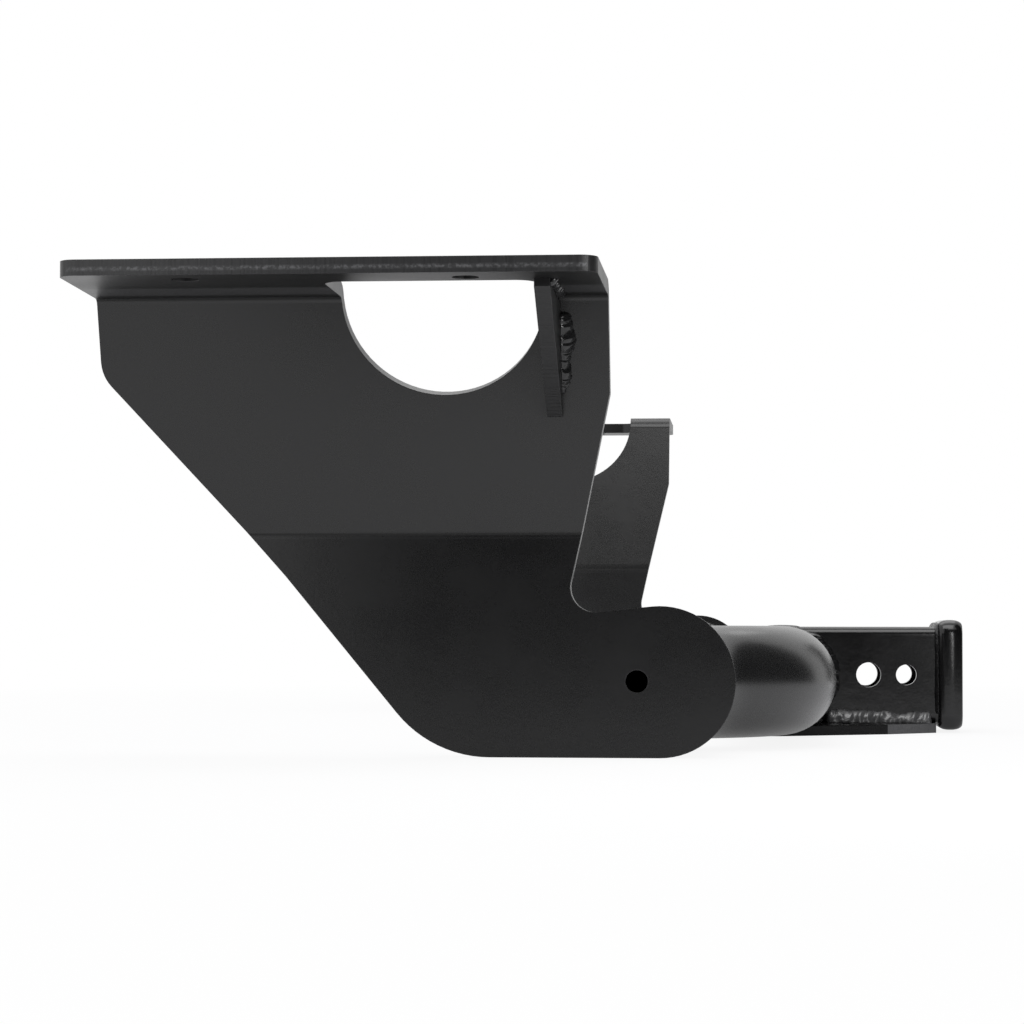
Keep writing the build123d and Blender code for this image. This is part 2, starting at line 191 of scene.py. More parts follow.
class Graph:
    """A node tree that is written from values and links."""

    def __init__(self, tree: bpy.types.NodeTree) -> None:
        """Clears the tree.

        Args:
            tree: The tree of a material or of the world.
        """
        self.tree = tree
        tree.nodes.clear()

    def node(
        self,
        kind: str,
        settings: Optional[dict[str, Any]] = None,
        inputs: Optional[dict[Union[str, int], Any]] = None,
        output: Union[str, int] = 0,
    ) -> Wire:
        """Adds a node.

        Args:
            kind: The node's type.
            settings: Its own settings, set first. "stops" gives a ramp's places and colours.
            inputs: A value or a link for each input that is named.
            output: The output that is returned.

        Returns:
            That output of the node.
        """
        made = self.tree.nodes.new(kind)
        for name, setting in (settings or {}).items():
            if name != "stops":
                setattr(made, name, setting)
                continue
            elements = made.color_ramp.elements
            while len(elements) < len(setting):
                elements.new(0.5)
            for element, (place, colour) in zip(elements, setting):
                element.position = place
                element.color = colour
        for name, value in (inputs or {}).items():
            if isinstance(value, Wire):
                self.tree.links.new(value.socket, made.inputs[name])
            else:
                made.inputs[name].default_value = value
        return Wire(self, made.outputs[output]) if len(made.outputs) else Wire(self, None)

    def mix(self, mask: Value, below: Any, above: Any) -> Wire:
        """Mixes two colours.

        Args:
            mask: Their share, from 0 to 1.
            below: The colour at 0.
            above: The colour at 1.

        Returns:
            The mixed colour.
        """
        # A Mix node's colours are its inputs 6 and 7 and its output 2
        settings = {"data_type": "RGBA", "clamp_factor": True}
        return self.node("ShaderNodeMix", settings, {0: mask, 6: below, 7: above}, 2)

    def noise(
        self, place: Wire, size: float, detail: float = 2.0, drawn_out: Optional[Axis] = None
    ) -> Wire:
        """A noise pattern.

        Args:
            place: The coordinates that it is read at.
            size: The size of its patches in metres.
            detail: How many finer layers it has.
            drawn_out: The axis that it is drawn out along, if any.

        Returns:
            Its value, near 0.5.
        """
        scale = Vector(drawn_out.value if drawn_out else (1, 1, 1))
        scaled = self.node("ShaderNodeMapping", None, {"Vector": place, "Scale": scale})
        inputs = {"Vector": scaled, "Scale": 1.0 / size, "Detail": detail, "Roughness": 0.6}
        return self.node("ShaderNodeTexNoise", None, inputs)

    def part(self, vector: Wire, axis: Axis) -> Wire:
        """The part of a vector along one axis."""
        return self.node("ShaderNodeSeparateXYZ", None, {0: vector}, axis.name)

    def face(self, normal: str) -> Wire:
        """A normal of the mesh: Normal, or True Normal for the flat face's own."""
        return self.node("ShaderNodeNewGeometry", output=normal)

    def ray(self, kind: str) -> Wire:
        """A mask of one kind of ray."""
        return self.node("ShaderNodeLightPath", output=kind)

    def seen(self) -> Wire:
        """A mask of what is looked at, in reflections and through glass too."""
        direct = self.ray("Is Camera Ray")
        return direct.either(self.ray("Is Glossy Ray")).either(self.ray("Is Transmission Ray"))

    def bump(self, height: Wire, depth: float, normal: Wire) -> Wire:
        """Adds relief to a normal.

        Args:
            height: The relief, from 0 to 1.
            depth: How deep it is in metres.
            normal: The normal that it is added to.

        Returns:
            The new normal.
        """
        inputs = {"Strength": 1.0, "Distance": depth, "Height": height, "Normal": normal}
        return self.node("ShaderNodeBump", None, inputs)


def grey(level: float) -> tuple[float, float, float, float]:
    """A neutral colour.

    Args:
        level: Its brightness, linear.

    Returns:
        The colour with full cover.
    """
    return (level, level, level * 1.03, 1.0)


@dataclass
class Layers:
    """The layers of a finish in the making, and the place on the object that they are read at."""

    graph: Graph
    place: Wire
    colour: Wire
    roughness: Wire
    normal: Wire

    def tint(self, mask: Wire, level: float) -> None:
        """Mixes a grey into the colour where a mask says."""
        self.colour = self.graph.mix(mask, self.colour, grey(level))

    def engrave(self, height: Wire, depth: float) -> None:
        """Adds relief of a depth in metres."""
        self.normal = self.graph.bump(height, depth, self.normal)


@dataclass(frozen=True)
class Coat:
    """A black coat on steel: its gloss, and the surface that shows through it."""

    name: str
    level: float
    roughness: float
    patch_size: float
    patch_roughness: float
    grain_size: float
    grain_depth: float
    ripple_size: float
    ripple_depth: float
    edge_radius: float
    edge_level: float = 0.03
    edge_cover: float = 0.75
    edge_spread: float = 6.0
    patch_detail: float = 5.0
    patch_shades: tuple[float, float] = (0.7, 1.4)
    grain_roughness: float = 0.06
    shine: float = 0.5

    def material(self) -> bpy.types.Material:
        """Builds the coat.

        Returns:
            The new material.
        """
        made = bpy.data.materials.new(self.name)
        made.use_nodes = True
        graph = Graph(made.node_tree)
        place = graph.node("ShaderNodeTexCoord", output="Object")
        patches = graph.noise(place, self.patch_size, self.patch_detail)
        grain = graph.noise(place, self.grain_size)
        ripple = graph.noise(place, self.ripple_size)
        rounded = graph.node("ShaderNodeBevel", {"samples": 6}, {"Radius": self.edge_radius})
        darker, lighter = (grey(self.level * shade) for shade in self.patch_shades)
        roughness = self.roughness + (patches - 0.5) * self.patch_roughness
        roughness = roughness + (grain - 0.5) * self.grain_roughness
        layers = Layers(graph, place, graph.mix(patches, darker, lighter), roughness, rounded)
        # Lighter coat on the sharp edges: partly wear, partly a painted highlight of their glint.
        layers.tint(self.edge(graph, rounded) * self.edge_cover, self.edge_level)
        layers.engrave(ripple, self.ripple_depth)
        layers.engrave(grain, self.grain_depth)
        self.dress_cuts(layers)
        inputs = {
            "Base Color": layers.colour,
            "Roughness": layers.roughness,
            "Normal": layers.normal,
            "Specular IOR Level": self.shine,
        }
        shader = graph.node("ShaderNodeBsdfPrincipled", None, inputs)
        graph.node("ShaderNodeOutputMaterial", None, {"Surface": shader})
        return made

    def edge(self, graph: Graph, rounded: Wire) -> Wire:
        """A mask of the sharp edges, where the coat is lighter: partly wear, partly a painted
        highlight.

        Args:
            graph: The material's graph.
            rounded: The normal that is rounded over the edges.

        Returns:
            The mask, 1 on an edge.
        """
        inputs = {0: rounded, 1: graph.face("Normal")}
        along = graph.node("ShaderNodeVectorMath", {"operation": "DOT_PRODUCT"}, inputs, "Value")
        return (1.0 - along) * self.edge_spread

    def dress_cuts(self, layers: Layers) -> None:
        """Leaves every face as it is. A coat on cut plate changes the cut faces here."""


@dataclass(frozen=True)
class BracketCoat(Coat):
    """A coat on the bent plate: cutter's grooves on its cut faces, and painted shade and highlight
    lines along its two bends.

    A face is a cut one where it turns towards the front or rear by more than end_turn, or down by
    more than foot_turn below the flange. The flange's outer edge is one too, and the streak is
    a painted highlight along its middle.
    """

    flange_height: float = 0.2
    flange_edge: float = 0.54
    flange_edge_depth: float = 1.2 * MM
    flange_edge_level: float = 0.03
    flange_edge_grooves: tuple[float, float] = (2.2, 0.2)
    end_turn: float = 0.25
    foot_turn: float = 0.9
    foot_gap: float = 3 * MM
    groove_size: float = 1.1 * MM
    groove_depth: float = 0.16 * MM
    cut_level: float = 0.02
    cut_dullness: float = 0.10
    streak_height: float = 0.20447
    streak_width: float = 1.5 * MM
    streak_level: float = 0.11
    streak_floor: float = 0.2
    speckle_size: float = 1.7 * MM
    speckle_from: float = 0.44
    speckle_contrast: float = 4.5
    bend_mark: float = 79.6 * MM
    bend_mark_width: float = 0.8 * MM
    mark_level: float = 0.001
    mark_dullness: float = 0.4
    rub_drop: float = 1.9 * MM
    rub_width: float = 1.0 * MM
    rub_cover: float = 0.5
    crease: float = 200.5 * MM
    crease_width: float = 1.1 * MM
    crease_band: float = 474 * MM
    crease_band_width: float = 17 * MM
    crease_band_cover: float = 3.0
    crease_band_level: float = 0.06

    def dress_cuts(self, layers: Layers) -> None:
        """Adds grooves and a lighter coat on the cut faces, a painted edge highlight and painted bend
        shading.

        Args:
            layers: The finish, which is changed.
        """
        graph = layers.graph
        place = layers.place
        face = graph.face("True Normal")
        across = abs(graph.part(place, Axis.Y))
        height = graph.part(place, Axis.Z)
        low = height < self.flange_height - self.foot_gap
        foot = (abs(graph.part(face, Axis.Z)) > self.foot_turn) * low
        end = abs(graph.part(face, Axis.X)) > self.end_turn
        outer_edge = across > self.flange_edge - self.flange_edge_depth
        cut = end.either(foot).either(outer_edge)
        high = height > self.flange_height
        across_plate = graph.noise(place, self.groove_size, drawn_out=Axis.Y)
        across_flange = graph.noise(place, self.groove_size, drawn_out=Axis.Z)
        grooves = across_flange * high + across_plate * (1.0 - high)
        layers.tint(cut * grooves, self.cut_level)
        contrast, less = self.flange_edge_grooves
        layers.tint(outer_edge * (grooves * contrast - less), self.flange_edge_level)
        self.mark_bends(layers, across, height, 1.0 - cut)
        # Painted highlight: a light streak along the middle of the flange's outer edge, broken up by
        # speckle.
        speckle = graph.noise(place, self.speckle_size)
        spots = self.limit((speckle - self.speckle_from) * self.speckle_contrast)
        line = self.line(height, self.streak_height, self.streak_width)
        layers.tint(self.limit(line) * outer_edge * (self.streak_floor + spots), self.streak_level)
        layers.engrave(grooves * cut, self.groove_depth)
        layers.roughness = layers.roughness + cut * self.cut_dullness

    def mark_bends(self, layers: Layers, across: Wire, height: Wire, uncut: Wire) -> None:
        """Paints a shade line along the lower bend with a highlight line below it, and a shade line in
        the crease under the flange with a highlight band beside it.

        Args:
            layers: The finish, which is changed.
            across: The distance from the vehicle's middle.
            height: The height.
            uncut: A mask of the faces that aren't cut.
        """
        # Painted shade: dark lines along the lower bend and in the crease under the flange. Painted
        # highlight: a light line below the lower bend and a light band on the flange's underside beside
        # the crease.
        bend_shade = self.line(height, self.bend_mark, self.bend_mark_width) * uncut
        bend_highlight = self.line(height, self.bend_mark - self.rub_drop, self.rub_width) * uncut
        under = (height > self.flange_height) * uncut
        crease = self.line(height, self.crease, self.crease_width) * uncut
        crease_highlight = self.line(across, self.crease_band, self.crease_band_width)
        layers.tint(bend_highlight * self.rub_cover, self.cut_level)
        layers.tint(crease_highlight * self.crease_band_cover * under, self.crease_band_level)
        shade_lines = bend_shade.either(crease)
        layers.tint(shade_lines, self.mark_level)
        layers.roughness = layers.roughness + self.limit(shade_lines) * self.mark_dullness

    def line(self, place: Wire, middle: float, width: float) -> Wire:
        """A line that is 1 in its middle, 0 at its width to either side and less beyond."""
        return 1.0 - abs(place - middle) * (1.0 / width)

    def limit(self, mask: Wire) -> Wire:
        """A mask kept at 0 or more."""
        return mask.either(0.0)


@dataclass(frozen=True)
class NarrowFaceCoat(Coat):
    """A coat on a cut plate, whose narrow faces keep the cutter's grooves across them."""

    thin: Axis = Axis.X
    groove_size: float = 0.9 * MM
    groove_depth: float = 0.22 * MM
    groove_cover: float = 0.4
    snip_from: float = 1.0
    snip_level: float = 0.0
    snip_cover: tuple[float, float] = (0.6, 0.5)

    def dress_cuts(self, layers: Layers) -> None:
        """Adds the grooves across the narrow faces, and a painted highlight on those of the rear end.

        Args:
            layers: The finish, which is changed.
        """
        graph = layers.graph
        cut = abs(graph.part(graph.face("True Normal"), self.thin)) < 0.5
        grooves = graph.noise(layers.place, self.groove_size, drawn_out=self.thin)
        layers.tint(cut * grooves * self.groove_cover, self.edge_level)
        # Painted highlight: the rear end's narrow faces are made paler to stand in for the light they
        # catch.
        behind = graph.part(layers.place, Axis.X) > self.snip_from
        even, grooved = self.snip_cover
        layers.tint(behind * cut * (even + grooved * grooves), self.snip_level)
        layers.engrave(grooves * cut, self.groove_depth)


BRACKET_COAT = BracketCoat(
    name="bracket_coat",
    level=0.009,
    roughness=0.28,
    patch_size=45 * MM,
    patch_roughness=0.12,
    grain_size=1.6 * MM,
    grain_depth=0.02 * MM,
    ripple_size=9 * MM,
    ripple_depth=0.04 * MM,
    edge_radius=0.6 * MM,
)
GUSSET_COAT = NarrowFaceCoat(
    name="gusset_coat",
    level=0.009,
    roughness=0.36,
    patch_size=30 * MM,
    patch_roughness=0.14,
    grain_size=1.4 * MM,
    grain_depth=0.05 * MM,
    ripple_size=8 * MM,
    ripple_depth=0.10 * MM,
    edge_radius=0.6 * MM,
)
PLATE_COAT = NarrowFaceCoat(
    name="plate_coat",
    level=0.005,
    roughness=0.28,
    patch_size=40 * MM,
    patch_roughness=0.14,
    grain_size=1.4 * MM,
    grain_depth=0.05 * MM,
    ripple_size=8 * MM,
    ripple_depth=0.10 * MM,
    edge_radius=0.8 * MM,
    edge_level=0.008,
    thin=Axis.Z,
    groove_depth=0.10 * MM,
    snip_from=11 * MM,
    snip_level=0.1,
    shine=0.22,
)
TUBE_COAT = Coat(
    name="tube_coat",
    level=0.011,
    roughness=0.27,
    patch_size=60 * MM,
    patch_roughness=0.06,
    grain_size=1.8 * MM,
    grain_depth=0.006 * MM,
    ripple_size=14 * MM,
    ripple_depth=0.06 * MM,
    edge_radius=0.6 * MM,
    shine=0.78,
)
RECEIVER_COAT = Coat(
    name="receiver_coat",
    level=0.005,
    roughness=0.17,
    patch_size=35 * MM,
    patch_roughness=0.12,
    grain_size=1.5 * MM,
    grain_depth=0.015 * MM,
    ripple_size=10 * MM,
    ripple_depth=0.08 * MM,
    edge_radius=0.7 * MM,
)
WELD_COAT = Coat(
    name="weld_coat",
    level=0.010,
    roughness=0.15,
    patch_size=7 * MM,
    patch_roughness=0.12,
    grain_size=1.2 * MM,
    grain_depth=0.04 * MM,
    ripple_size=3.2 * MM,
    ripple_depth=0.28 * MM,
    edge_radius=0.3 * MM,
    edge_level=0.02,
)
# A lighter copy of the weld coat for the side welds: a painted reflection of the overhead light, which
# makes them read pale.
SIDE_WELD_PAINTED_SHEEN_COAT = replace(
    WELD_COAT,
    name="side_weld_coat",
    level=0.06,
    roughness=0.26,
    ripple_depth=0.16 * MM,
    edge_level=0.07,
    shine=0.8,
)


# Steps that several pieces share


def long_edges(shape: bmesh.types.BMesh, axis: Axis, least: float) -> list[bmesh.types.BMEdge]:
    """Picks the edges that run along an axis.

    Args:
        shape: The mesh.
        axis: The axis.
        least: The least distance that such an edge runs along it.

    Returns:
        The edges.
    """
    part = "XYZ".index(axis.name)
    return [e for e in shape.edges if abs(e.verts[0].co[part] - e.verts[1].co[part]) > least]


def round_edges(
    shape: bmesh.types.BMesh, edges: list[bmesh.types.BMEdge], radius: float, segments: int
) -> None:
    """Rounds edges.

    Args:
        shape: The mesh.
        edges: Its edges that are rounded.
        radius: The radius.
        segments: How many faces the round has.
    """
    bmesh.ops.bevel(
        shape,
        geom=edges,
        offset=radius,
        offset_type="OFFSET",
        segments=segments,
        profile=0.5,
        affect="EDGES",
        material=-1,
    )


def smooth_outward(shape: bmesh.types.BMesh) -> None:
    """Turns all faces outward and shades them smooth.

    Args:
        shape: The mesh.
    """
    bmesh.ops.recalc_face_normals(shape, faces=shape.faces)
    for face in shape.faces:
        face.smooth = True


def add_piece(name: str, shape: bmesh.types.BMesh, coat: bpy.types.Material) -> bpy.types.Object:
    """Adds a piece to the scene.

    Args:
        name: Its name.
        shape: Its mesh, which is freed.
        coat: Its material.

    Returns:
        The new piece.
    """
    mesh = bpy.data.meshes.new(name)
    shape.to_mesh(mesh)
    shape.free()
    mesh.materials.append(coat)
    piece = bpy.data.objects.new(name, mesh)
    bpy.context.scene.collection.objects.link(piece)
    return piece


def coat_node(node: bpy.types.Object, coat: bpy.types.Material) -> None:
    """Gives a CAD node its finish.

    Args:
        node: The node.
        coat: The finish.
    """
    if not node.material_slots:
        node.data.materials.append(coat)
    for slot in node.material_slots:
        slot.material = coat


def limited(value: float) -> float:
    """A value kept between 0 and 1."""
    return min(max(0.0, value), 1.0)


# Weld beads


@dataclass(frozen=True)
class Spot:
    """One place along a bead: its root, and its reach along each of the two faces that it joins.

    The lift swells it between the two.
    """

    root: Vector
    first: Vector
    second: Vector
    lift: Vector = Vector((0, 0, 0))


@dataclass(frozen=True)
class StraightRun:
    """A bead's way along a straight line, where it may thin towards its end."""

    start: Vector
    end: Vector
    first: Vector
    second: Vector
    lift: Vector = Vector((0, 0, 0))
    thinning: float = 0.0

    def __call__(self, share: float) -> Spot:
        """The bead's place at a share of its length."""
        thin = 1.0 - self.thinning * share
        return Spot(self.start.lerp(self.end, share), self.first * thin, self.second * thin, self.lift)


@dataclass
class Bead:
    """A rippled weld bead that stands for one CAD weld.

    A turn of its section goes from the toe on the first face over the crown to the toe on the
    second one, at crown_end, and back under the faces by the root, at root_turn. The wanders are
    uneven widths and ripples, each with the distance over which it changes.
    """

    node: str
    length: float
    spot: Callable[[float], Spot]
    pitch: float = 2.7 * MM
    ripple: float = 0.42 * MM
    ripple_low: float = 0.55
    ripple_round: float = 0.7
    ripple_front: float = 6.0
    ripple_at_toes: float = 0.9
    wander: float = 0.10
    wander_size: float = 11 * MM
    fine_wander: float = 0.06
    fine_wander_size: float = 4 * MM
    pitch_wander: float = 0.35
    pitch_wander_size: float = 7 * MM
    lead: float = 1.7 * MM
    skew: float = 0.0
    sink: float = 0.15 * MM
    taper: float = 3.0 * MM
    end_share: float = 0.45
    step: float = 0.55 * MM
    fewest_steps: int = 8
    sides: int = 16
    crown: float = 1.36
    crown_end: float = 0.75
    back_start: float = 0.76
    root_turn: float = 0.88
    back_reach: float = 0.8

    def build(self, coat: bpy.types.Material) -> bpy.types.Object:
        """Models the bead and puts it in place of its CAD node.

        Args:
            coat: The material that it gets.

        Returns:
            The new piece.
        """
        shape = bmesh.new()
        bmesh.ops.create_cone(shape, cap_ends=True, segments=self.sides, radius1=1, radius2=1, depth=1)
        cuts = max(self.fewest_steps, round(self.length / self.step))
        bmesh.ops.subdivide_edges(shape, edges=long_edges(shape, Axis.Z, 0.5), cuts=cuts)
        for vert in shape.verts:
            turn = (math.atan2(vert.co.y, vert.co.x) / math.tau) % 1.0
            vert.co = self.surface(vert.co.z + 0.5, turn)
        smooth_outward(shape)
        piece = add_piece(f"{self.node}_bead", shape, coat)
        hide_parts(self.node)
        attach(piece, BODY)
        return piece

    def surface(self, share: float, turn: float) -> Vector:
        """A point of the bead's surface.

        Args:
            share: The place along the bead, from 0 to 1.
            turn: The place round its section, from 0 to 1.

        Returns:
            The point.
        """
        spot = self.spot(share)
        if turn > self.back_start:
            return self.back(spot, turn)
        travel = share * self.length
        angle = min(turn / self.crown_end, 1.0) * math.pi / 2
        along = max(math.cos(angle), 0.0) ** self.crown
        across = max(math.sin(angle), 0.0) ** self.crown
        arch = math.sin(2 * angle)
        width = 1.0 + self.wander * self.waver(travel, self.wander_size, 3.0)
        width += self.fine_wander * self.waver(travel, self.fine_wander_size, 7.0 + 2.0 * turn)
        height = self.ripple_height(travel, turn, arch)
        ends = min(travel, self.length - travel) / self.taper
        ending = math.sqrt(1.0 - (1.0 - min(ends, 1.0)) ** 2)
        ending = self.end_share + (1.0 - self.end_share) * ending
        reach = spot.first * along + spot.second * across + spot.lift * arch
        outward = reach.normalized() if reach.length > 0 else Vector((0, 0, 0))
        return spot.root + (reach * width + outward * height) * ending

    def back(self, spot: Spot, turn: float) -> Vector:
        """A point of the bead's back, sunk under the two faces that it joins.

        Args:
            spot: The bead's place.
            turn: The place round its section.

        Returns:
            The point.
        """
        inward = -(spot.first.normalized() + spot.second.normalized()) * self.sink
        corner = 1.0 - abs(turn - self.root_turn) / (1.0 - self.root_turn)
        toe = spot.first if turn > self.root_turn else spot.second
        return spot.root + toe * (1.0 - corner) * self.back_reach + inward

    def ripple_height(self, travel: float, turn: float, arch: float) -> float:
        """How far a ripple stands out, or in where it is negative.

        Args:
            travel: The distance along the bead.
            turn: The place round its section.
            arch: 0 at the toes and 1 on top.

        Returns:
            The height.
        """
        lag = self.lead * arch + self.skew * turn
        wander = self.pitch_wander * self.waver(travel, self.pitch_wander_size, 5.0)
        crest = 1.0 - (((travel - lag) / self.pitch + wander) % 1.0)
        wave = min(crest, (1.0 - crest) * self.ripple_front) ** self.ripple_round - self.ripple_low
        return self.ripple * wave * (self.ripple_at_toes + (1.0 - self.ripple_at_toes) * arch)

    def waver(self, travel: float, size: float, seed: float) -> float:
        """A smooth wander along the bead.

        Args:
            travel: The distance along the bead.
            size: The distance over which it changes.
            seed: The row of the noise that is read.

        Returns:
            A value about 0, mostly between -1 and 1.
        """
        # The name's length sets the beads of the two sides apart
        row = seed + 0.37 * len(self.node)
        return 1.6 * noise.noise(Vector((travel / size, row, 0.5 * row)))


# The object's own sizes, read from the frame


@dataclass
class Layout:
    """Places and sizes that the modelled pieces need, worked out from the CAD nodes' boxes."""

    tube_radius: float = field(init=False)
    tube_height: float = field(init=False)
    tube_end_x: float = field(init=False)
    tube_middle_x: float = field(init=False)
    bracket_inner_y: float = field(init=False)
    receiver_half: float = field(init=False)
    receiver_front_x: float = field(init=False)
    mouth_x: float = field(init=False)
    collar_front_x: float = field(init=False)
    collar_half: float = field(init=False)
    plate_top: float = field(init=False)

    def __post_init__(self) -> None:
        """Reads the boxes."""
        tube_low, tube_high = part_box("cross_tube")
        receiver_low, receiver_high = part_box("receiver_tube")
        collar_low, collar_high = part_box("receiver_collar")
        self.tube_radius = (tube_high.z - tube_low.z) / 2
        self.tube_height = (tube_high.z + tube_low.z) / 2
        self.tube_end_x = tube_low.x + self.tube_radius
        self.tube_middle_x = tube_high.x - self.tube_radius
        self.bracket_inner_y = tube_high.y
        self.receiver_half = receiver_high.y
        self.receiver_front_x = receiver_low.x
        self.mouth_x = receiver_high.x
        self.collar_front_x = collar_low.x
        self.collar_half = collar_high.y
        self.plate_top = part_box("chain_plate")[1].z


@dataclass(frozen=True)
class RoundedSquare:
    """A square outline in the Y-Z plane with round corners, walked from low left over the top."""

    half: float
    corner: float

    @property
    def side(self) -> float:
        """The length of one straight side."""
        return 2 * (self.half - self.corner)

    @property
    def bend(self) -> float:
        """The length of one round corner."""
        return self.corner * math.pi / 2

    @property
    def length(self) -> float:
        """The length of the walk, over three sides and two corners."""
        return 3 * self.side + 2 * self.bend

    def walk(self, travel: float) -> tuple[Vector, Vector]:
        """A place on the outline.

        Args:
            travel: The distance from the lower end of the left side, up, over the top and down.

        Returns:
            The place and the direction out of the square there.
        """
        inner = self.half - self.corner
        if travel < self.side:
            return Vector((0, -self.half, travel - inner)), Vector((0, -1, 0))
        travel -= self.side
        if travel < self.bend:
            angle = math.pi - travel / self.corner
            out = Vector((0, math.cos(angle), math.sin(angle)))
            return Vector((0, -inner, inner)) + out * self.corner, out
        travel -= self.bend
        if travel < self.side:
            return Vector((0, travel - inner, self.half)), Vector((0, 0, 1))
        travel -= self.side
        if travel < self.bend:
            angle = math.pi / 2 - travel / self.corner
            out = Vector((0, math.cos(angle), math.sin(angle)))
            return Vector((0, inner, inner)) + out * self.corner, out
        travel -= self.bend
        return Vector((0, self.half, inner - travel)), Vector((0, 1, 0))


# Sub-assemblies


@dataclass
class SideBracket:
    """One formed side bracket with its gusset and the welds on it."""

    side: Side
    layout: Layout
    lean: float = math.radians(17.46)
    gusset_weld: float = 6 * MM
    gusset_weld_run: float = 0.79
    gusset_weld_thinning: float = 0.45
    flange_weld: float = 3.3 * MM
    ring_weld: float = 5.5 * MM
    ring_weld_start: float = math.radians(-70)
    ring_weld_lap: float = 8 * MM

    def dress(
        self, bracket_coat: bpy.types.Material, gusset_coat: bpy.types.Material, nodes: dict
    ) -> None:
        """Gives the CAD plates their coats.

        Args:
            bracket_coat: The coat of the bracket.
            gusset_coat: The coat of the gusset.
            nodes: The CAD nodes.
        """
        coat_node(nodes[f"bracket_{self.side.node}"], bracket_coat)
        coat_node(nodes[f"gusset_{self.side.node}"], gusset_coat)

    def beads(self) -> list[Bead]:
        """The beads on this bracket."""
        return [self.ring_bead(), self.leaning_bead(), self.flange_bead()]

    def ring_bead(self) -> Bead:
        """Lays the bead round the end of the cross tube.

        Returns:
            The bead.
        """
        layout = self.layout
        way = self.side.value
        length = math.tau * layout.tube_radius + self.ring_weld_lap
        centre = Vector((layout.tube_end_x, way * layout.bracket_inner_y, layout.tube_height))

        def spot(share: float) -> Spot:
            """Finds the bead's place.

            Args:
                share: The share of its length.

            Returns:
                The place.
            """
            angle = self.ring_weld_start + share * length / layout.tube_radius
            out = Vector((math.cos(angle), 0, math.sin(angle)))
            along_tube = Vector((0, -way * self.ring_weld, 0))
            return Spot(centre + out * layout.tube_radius, out * self.ring_weld, along_tube)

        return Bead(f"tube_weld_{self.side.node}", length, spot)

    def leaning_bead(self) -> Bead:
        """Lays the bead down the leaning plate, behind the gusset.

        Returns:
            The bead.
        """
        node = f"gusset_plate_weld_{self.side.node}"
        low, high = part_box(node)
        way = self.side.value
        down = Vector((0, -way * math.sin(self.lean), -math.cos(self.lean)))
        out = Vector((0, way * math.cos(self.lean), -math.sin(self.lean)))
        length = (high.z - low.z - self.gusset_weld * math.sin(self.lean)) / math.cos(self.lean)
        far = low.y if self.side is Side.RIGHT else high.y
        foot_z = low.z + self.gusset_weld * math.sin(self.lean)
        top = Vector((low.x, far, foot_z)) - down * length
        length *= self.gusset_weld_run
        run = StraightRun(
            start=top,
            end=top + down * length,
            first=Vector((self.gusset_weld, 0, 0)),
            second=out * self.gusset_weld,
            thinning=self.gusset_weld_thinning,
        )
        return Bead(
            node, length, run, pitch=4.6 * MM, ripple=0.9 * MM, wander=0.34, skew=2.0 * MM, taper=7 * MM
        )

    def flange_bead(self) -> Bead:
        """Lays the bead out along the flange, behind the gusset.

        Returns:
            The bead.
        """
        node = f"gusset_flange_weld_{self.side.node}"
        low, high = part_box(node)
        near, far = (low.y, high.y) if self.side is Side.RIGHT else (high.y, low.y)
        run = StraightRun(
            start=Vector((low.x, near, high.z)),
            end=Vector((low.x, far, high.z)),
            first=Vector((self.flange_weld, 0, 0)),
            second=Vector((0, 0, -self.flange_weld)),
        )
        return Bead(node, high.y - low.y, run, pitch=3.6 * MM, ripple=0.5 * MM, wander=0.25)


